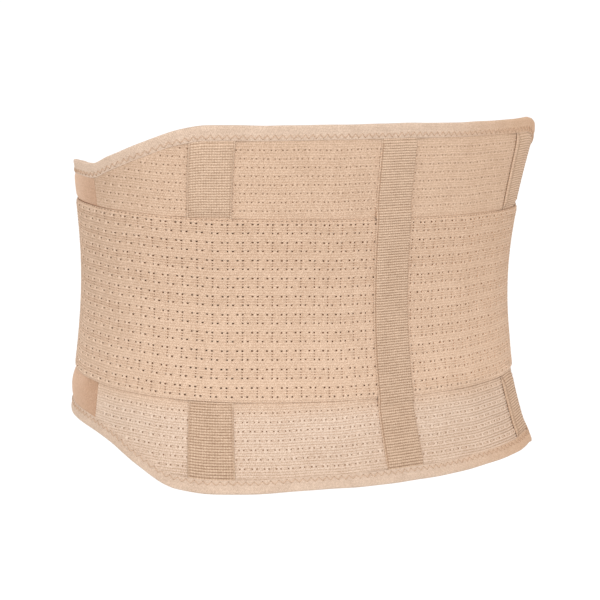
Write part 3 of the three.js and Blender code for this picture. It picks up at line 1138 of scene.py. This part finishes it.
# Sewing thread: each stitch is a short bead of thread, sunk at both ends, from one point to another.
threadSize = {
    "radius": 0.24,
    "rings": 6,
    "sides": 6,
    "arch": 0.26,
    "sink": 0.1,
    "pitch": 3.0,
    "tapeRadius": 0.18,
    "tapeStitch": 2.1,
    "closureStitch": 2.2,
    "tapeEnds": (-105.0, 112.0),
}


def makeStitches(name, legs, outAt, radius=threadSize["radius"], dark=(1.0, 1.0)):
    # along each leg a circle is carried on a low arch, with its radius shrinking at the ends; legs are
    # the values of u and z where they start and end, and dark is the painted shade at these needle points
    size = threadSize
    t = np.linspace(0, 1, size["rings"])
    uFrom, zFrom, uTo, zTo = (end[:, None] for end in legs)
    u = uFrom * (1 - t) + uTo * t
    z = zFrom * (1 - t) + zTo * t
    arch = np.sin(np.pi * t) * (size["arch"] + size["sink"]) - size["sink"]
    centre = place(u, z, outAt(u, z) + arch)
    normal = outward(u, z)
    along = np.gradient(centre, axis=1)
    along /= np.linalg.norm(along, axis=-1, keepdims=True)
    across = np.cross(along, normal)
    across /= np.linalg.norm(across, axis=-1, keepdims=True)
    normal = np.cross(across, along)
    r = radius * (0.75 + 0.25 * np.sin(np.pi * t))[:, None, None]
    angle = np.arange(size["sides"]) * turn / size["sides"]
    ring = across[:, :, None] * np.cos(angle)[:, None] + normal[:, :, None] * np.sin(angle)[:, None]
    points = centre[:, :, None] + ring * r
    at = np.arange(points[..., 0].size).reshape(points.shape[:3])
    after = np.roll(at, -1, axis=2)
    sides = np.stack([at[:, :-1], at[:, 1:], after[:, 1:], after[:, :-1]], -1).reshape(-1, 4)
    caps = np.concatenate([at[:, 0], at[:, -1, ::-1]])
    shade = np.zeros(at.shape)
    for end, amount in zip((0, -1), dark):
        shade[:, end] = np.broadcast_to(amount, len(u))[:, None]
    shades = [shade.ravel()[sides], shade.ravel()[caps]]
    piece = addMesh(name, points.reshape(-1, 3), [sides, caps], shades, sewingThread)
    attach(piece, "root")


def zigzag(column, up, low, high, pitch):
    # ends of the legs of a zigzag between two distances from the free edge
    length = loopLength * edgeFold["lengthShare"]
    number = np.arange(int(2 * layers["panelEnd"] * length / (pitch / 2)) - 4)
    u = -layers["panelEnd"] + (number + 2) * pitch / 2 / length
    z = edgeHeight(column, u) - up * np.where(number % 2, low, high) * foldReach(column)
    # painted shade at the needle points
    dark = np.where(number % 2, 0.5, 1.0)  # darkest at the points away from the free edge
    return (u[:-1], z[:-1], u[1:], z[1:]), (dark[:-1], dark[1:])


def aboveFold(u, z):
    return panelBase(u, z) + layers["panelWall"] + bindingRise(u) + 0.5


def belowFold(u, z):
    return panelBase(u, z) - 0.5


for column, up in (("top", 1), ("bottom", -1)):
    legs, dark = zigzag(column, up, *edgeFold["stitchZone"], edgeFold["stitchPitch"])
    for ending, level in (("", aboveFold), ("Inside", belowFold)):
        makeStitches(column + "BindingZigzag" + ending, legs, level, dark=dark)


def tapeStitches(word, name, base):
    # two rows of running stitches in the tape's furrows
    size = threadSize
    long = size["tapeStitch"]
    half = layers["tapeShare"] / 2 - stayTape["selvedge"][word] / (loopLength * stayTape["lengthShare"])
    z = np.tile(np.arange(*size["tapeEnds"], size["pitch"]), 2)
    u = tapeLine(word, z) + np.repeat([-half, half], len(z) // 2)
    inside = (clearOf(u, z) > 3) & (clearOf(u, z + long) > 3)
    if word != "centre":
        inside &= (besideBand(u, z) > 2.5) & (besideBand(u, z + long) > 2.5)
    u = u[inside]
    z = z[inside]
    lift = layers["tapeWall"] + stayTape["shoulder"] * 0.75 - 0.15
    makeStitches(name, (u, z, u, z + long), lambda u, z: base(z) + lift, size["tapeRadius"])


for word, name, base in tapePlaces:
    tapeStitches(word, name + "Stitches", base)


def closureStitches():
    # a row of stitches inside the patch's outline
    size = closurePatch
    corner = size["corner"] - size["sewnAt"]
    middle = np.array([size["share"] / 2 * loopLength, size["half"]]) - size["sewnAt"] - corner
    side = np.linspace(0, np.pi / 2, 12)
    quarter = middle + np.stack([np.cos(side), np.sin(side)], -1) * corner
    path = [quarter, quarter[::-1] * [-1, 1], -quarter, quarter[::-1] * [1, -1], quarter[:1]]
    path = np.concatenate(path)
    length = np.concatenate([[0], np.cumsum(np.linalg.norm(np.diff(path, axis=0), axis=1))])
    start = np.arange(0, length[-1] - 2.4, threadSize["pitch"])
    spots = (start, start + threadSize["closureStitch"])
    path[:, 0] = 0.5 + path[:, 0] / loopLength
    legs = [np.interp(spot, length, path[:, k]) for spot in spots for k in (0, 1)]
    top = closureBase + layers["closureWall"] - 0.2
    makeStitches("frontClosureStitches", legs, lambda u, z: top + 0 * z)


closureStitches()
print("stitches ready")


# Studio: a pale floor well below the belt, an even sky, soft light from above the camera, and two weak
# lights from behind, which reach the outline.
studio = {
    "floorZ": -0.9,
    "floorHalf": 60.0,
    "floorTone": (250, 250, 250),
    "floorGlow": 0.06,
    "sky": 0.74,
    "sun": 1.07,
    "sunAngle": 1.2,
    "sunTurn": (0.75, 0.12, -0.75),
    "rim": 0.65,
    "rimAngle": 0.7,
    "rimFrom": ((-0.09, 0.996, 0.15), (0.965, 0.262, 0.15)),
    "keyPower": 14.0,
    "keyAt": (-0.9, -1.5, 1.5),
    "keySize": 1.6,
}


def addLight(name, kind, energy, turned, **settings):
    light = bpy.data.lights.new(name, kind)
    light.energy = energy
    for setting, value in settings.items():
        setattr(light, setting, value)
    lamp = addObject(name, light)
    lamp.rotation_mode = "QUATERNION"
    lamp.rotation_quaternion = turned
    return lamp


def makeStudio():
    size = studio
    half = size["floorHalf"]
    corners = [(-half, -half), (half, -half), (half, half), (-half, half)]
    mesh = bpy.data.meshes.new("floor")
    mesh.from_pydata([(x, y, size["floorZ"]) for x, y in corners], [], [(0, 1, 2, 3)])
    paper = {
        "Base Color": tone(*size["floorTone"]),
        "Roughness": 0.9,
        "Specular IOR Level": 0.1,
        "Emission Color": (1.0, 1.0, 1.0, 1.0),
        "Emission Strength": size["floorGlow"],
    }
    mesh.materials.append(newFinish("floorPaper", paper))
    floor = addObject("floor", mesh)
    world = bpy.data.worlds.new("studioSky")
    world.use_nodes = True
    sky = world.node_tree.nodes["Background"]
    sky.inputs["Color"].default_value = (1.0, 1.0, 1.0, 1.0)
    sky.inputs["Strength"].default_value = size["sky"]
    bpy.context.scene.world = world
    sunTurn = Euler(size["sunTurn"]).to_quaternion()
    addLight("softSun", "SUN", size["sun"], sunTurn, angle=size["sunAngle"])
    for side, towards in zip(("Left", "Right"), size["rimFrom"]):
        rimTurn = Vector(towards).to_track_quat("Z", "Y")
        addLight("rim" + side, "SUN", size["rim"], rimTurn, angle=size["rimAngle"])
    keyTurn = (-Vector(size["keyAt"])).to_track_quat("-Z", "Y")
    key = addLight("keyPanel", "AREA", size["keyPower"], keyTurn, size=size["keySize"])
    key.location = size["keyAt"]
    bpy.context.scene.view_settings.view_transform = "Standard"


makeStudio()


# Camera: the photograph's view.
cameraView = {
    "azimuth": -34.84,
    "elevation": 10.1,
    "roll": 2.73,
    "distance": 1.415,
    "aside": 0.0003,
    "raised": -0.0145,
    "lens": 118.14,
}


def makeCamera():
    # turned by azimuth and elevation round the belt, moved back, and rolled about its own axis
    size = cameraView
    azimuth, elevation, roll = np.radians([size["azimuth"], size["elevation"], size["roll"]])
    turned = Matrix.Rotation(azimuth, 4, "Z") @ Matrix.Rotation(np.pi / 2 - elevation, 4, "X")
    moved = Matrix.Translation((size["aside"], size["raised"], size["distance"]))
    lens = bpy.data.cameras.new("photoCamera")
    lens.sensor_width = 36.0
    lens.lens = size["lens"]
    lens.clip_end = 200.0
    camera = addObject("photoCamera", lens)
    camera.matrix_world = turned @ moved @ Matrix.Rotation(roll, 4, "Z")
    bpy.context.scene.camera = camera


makeCamera()
print("studio and camera ready")
